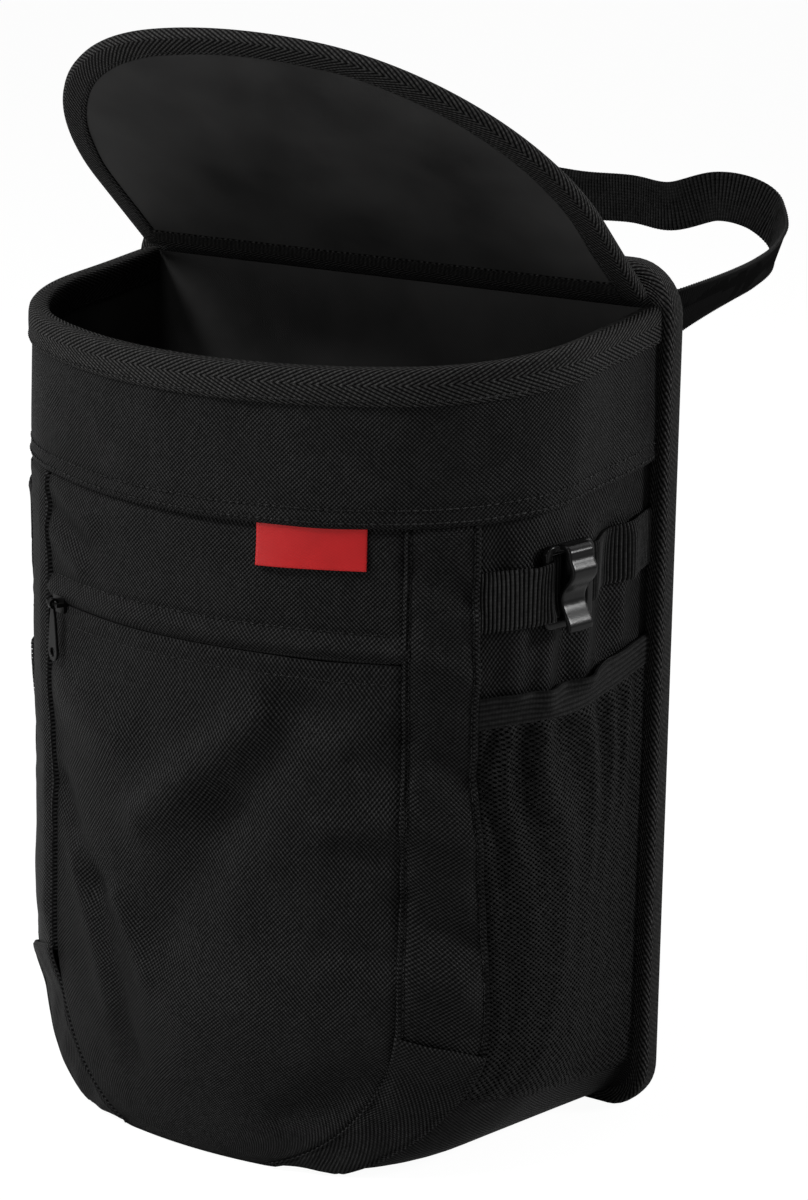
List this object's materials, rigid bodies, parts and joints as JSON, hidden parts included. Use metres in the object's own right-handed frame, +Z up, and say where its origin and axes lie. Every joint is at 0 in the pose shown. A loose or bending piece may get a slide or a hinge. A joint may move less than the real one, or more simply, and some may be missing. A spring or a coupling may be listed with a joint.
{
  "type": "car trash bin",
  "caption": "Soft D-shaped car litter bin on a stiff back, with a hinged lid, zip pocket, mesh side pockets, bag clips and a hanging strap loop.",
  "frame": {"origin": "on the floor under the middle of the bag's depth and width", "axes": "+Z up, front with the zip pocket towards -Y, stiff back towards +Y, +X to the right seen from the front"},
  "size_m": [0.2538, 0.2843, 0.4223],
  "materials": {
    "black_oxford": "woven, slight sheen",
    "satin_lining": "smooth coated lining",
    "binding_tape": "herringbone woven tape",
    "ribbed_webbing": "ribbed webbing",
    "pocket_mesh": "knitted mesh",
    "ribbed_elastic": "ribbed elastic",
    "red_tag": "satin woven, bare",
    "clip_plastic": "glossy moulded",
    "zip_coil": "matte",
    "zip_metal": "dark painted",
    "stiff_board": "matte foam board"
  },
  "bodies": {
    "bag": {"front_wall": "black_oxford", "side_gusset": "black_oxford", "collar_band": "black_oxford", "pocket_panel": "black_oxford", "pocket_yoke": "black_oxford", "back_cover": "black_oxford", "corner_strip_left": "black_oxford", "corner_strip_right": "black_oxford", "corner_boot_left": "black_oxford", "corner_boot_right": "black_oxford", "lining": "satin_lining", "back_facing": "satin_lining", "rim_binding": "binding_tape", "back_binding": "binding_tape", "lid_hinge": "binding_tape", "zip_tape": "binding_tape", "hanging_strap": "ribbed_webbing", "side_webbing_left": "ribbed_webbing", "side_webbing_right": "ribbed_webbing", "strap_patch_left": "ribbed_webbing", "strap_patch_right": "ribbed_webbing", "mesh_pocket_left": "pocket_mesh", "mesh_pocket_right": "pocket_mesh", "pocket_elastic_left": "ribbed_elastic", "pocket_elastic_right": "ribbed_elastic", "front_tag": "red_tag", "bag_clip_left": "clip_plastic", "bag_clip_right": "clip_plastic", "zip_coil": "zip_coil", "back_board": "stiff_board"},
    "lid": {"lid_lining": "satin_lining", "lid_board": "stiff_board", "lid_cover": "black_oxford", "lid_binding": "binding_tape"},
    "slider": {"zip_slider": "zip_metal"},
    "pull": {"zip_pull": "zip_metal"}
  },
  "joints": [
    {"name": "lid_swing", "type": "hinge", "parent": "bag", "child": "lid", "pos_m": [0, 0.0606, 0.32316], "axis": [-1, 0, 0], "range_deg": [-47.71, 45.5]},
    {"name": "zip_run", "type": "hinge", "parent": "bag", "child": "slider", "pos_m": [0, 0.111, 0.2015], "axis": [0, 0, 1], "range_deg": [0, 47.85]},
    {"name": "pull_swing", "type": "hinge", "parent": "slider", "child": "pull", "pos_m": [-0.07372, -0.05518, 0.2015], "axis": [-0.9141, 0.4055, 0], "range_deg": [0, 100]}
  ]
}
